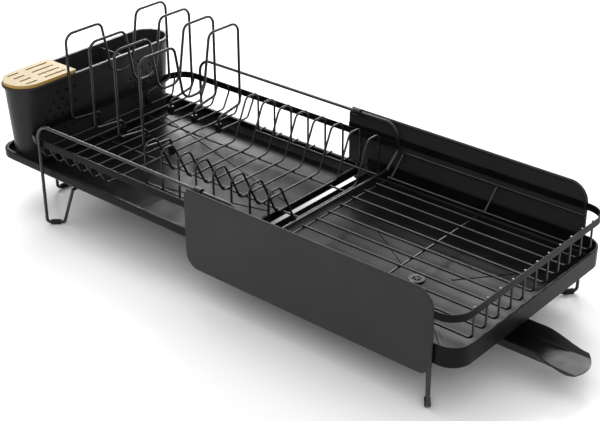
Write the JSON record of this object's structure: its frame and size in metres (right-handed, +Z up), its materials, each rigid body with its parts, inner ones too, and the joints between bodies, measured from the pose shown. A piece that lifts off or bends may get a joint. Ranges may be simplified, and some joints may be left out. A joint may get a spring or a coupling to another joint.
{
  "type": "dish drying rack",
  "caption": "Expandable wire dish drying rack with drip trays, plate dividers, cup holders, a utensil holder with a bamboo knife block and a swivelling drain spout.",
  "frame": {"origin": "on the floor, under the middle of the object's box with the extension out", "axes": "+X from the utensil holder to the spout, +Y from the front rail to the back rail, +Z up"},
  "size_m": [0.9066, 0.3376, 0.2555],
  "materials": {
    "frame_wire": "satin black powder coat",
    "grid_wire": "satin black powder coat",
    "band": "satin black powder coat",
    "cup_wire": "satin black powder coat",
    "tray": "satin black",
    "holder_plastic": "semi-gloss black",
    "bamboo": "light bamboo, oiled",
    "clip_plastic": "black",
    "panel": "matte dark grey powder coat",
    "rubber": "matte black",
    "drain_plastic": "black",
    "spout_plastic": "satin black"
  },
  "bodies": {
    "rack": {"front_rail": "frame_wire", "back_rail": "frame_wire", "front_left_leg": "frame_wire", "back_left_leg": "frame_wire", "left_foot_sleeves": "rubber", "left_cross_wire": "frame_wire", "left_support_leg": "frame_wire", "support_foot_sleeves": "rubber", "front_end_post": "frame_wire", "back_end_post": "frame_wire", "end_cross_wire": "frame_wire", "main_rim_band": "band", "main_floor_wires": "grid_wire", "main_support_wires": "grid_wire", "divider_edge_wires": "grid_wire", "plate_divider_wires": "grid_wire"},
    "main_tray": {"main_tray": "tray"},
    "utensil_holder": {"utensil_holder": "holder_plastic"},
    "knife_block": {"knife_block": "bamboo"},
    "cup_holder_1": {"cup_wire_1": "cup_wire", "cup_clips_1": "clip_plastic"},
    "cup_holder_2": {"cup_wire_2": "cup_wire", "cup_clips_2": "clip_plastic"},
    "cup_holder_3": {"cup_wire_3": "cup_wire", "cup_clips_3": "clip_plastic"},
    "cup_holder_4": {"cup_wire_4": "cup_wire", "cup_clips_4": "clip_plastic"},
    "extension": {"ext_rim_band": "band", "ext_floor_wires": "grid_wire", "ext_cross_wires": "grid_wire", "ext_long_wires": "grid_wire", "slide_clips": "clip_plastic", "front_panel": "panel", "back_panel": "panel", "front_panel_wire": "panel", "back_panel_wire": "panel", "front_right_leg": "frame_wire", "back_right_leg": "frame_wire", "right_cross_wire": "frame_wire", "right_foot_sleeves": "rubber"},
    "ext_tray": {"ext_tray": "tray", "drain_fitting": "drain_plastic", "drain_seal": "rubber", "drain_nut": "drain_plastic"},
    "spout": {"spout": "spout_plastic"}
  },
  "joints": [
    {"name": "main_tray_slide", "type": "slide", "parent": "rack", "child": "main_tray", "axis": [-1, 0, 0], "range_m": [0, 0.25]},
    {"name": "holder_lift", "type": "slide", "parent": "main_tray", "child": "utensil_holder", "axis": [0, 0, 1], "range_m": [0, 0.15]},
    {"name": "knife_block_lift", "type": "slide", "parent": "utensil_holder", "child": "knife_block", "axis": [0, 0, 1], "range_m": [0, 0.05]},
    {"name": "cup_holder_1_lift", "type": "slide", "parent": "rack", "child": "cup_holder_1", "axis": [0, 0, 1], "range_m": [0, 0.08]},
    {"name": "cup_holder_2_lift", "type": "slide", "parent": "rack", "child": "cup_holder_2", "axis": [0, 0, 1], "range_m": [0, 0.08]},
    {"name": "cup_holder_3_lift", "type": "slide", "parent": "rack", "child": "cup_holder_3", "axis": [0, 0, 1], "range_m": [0, 0.08]},
    {"name": "cup_holder_4_lift", "type": "slide", "parent": "rack", "child": "cup_holder_4", "axis": [0, 0, 1], "range_m": [0, 0.08]},
    {"name": "extension_slide", "type": "slide", "parent": "rack", "child": "extension", "axis": [-1, 0, 0], "range_m": [0, 0.27]},
    {"name": "ext_tray_slide", "type": "slide", "parent": "extension", "child": "ext_tray", "axis": [1, 0, 0], "range_m": [0, 0.056]},
    {"name": "spout_swivel", "type": "hinge", "parent": "ext_tray", "child": "spout", "pos_m": [0.21669, -0.029, 0.052], "axis": [0, 0, 1], "range_deg": [-28, 36]}
  ]
}
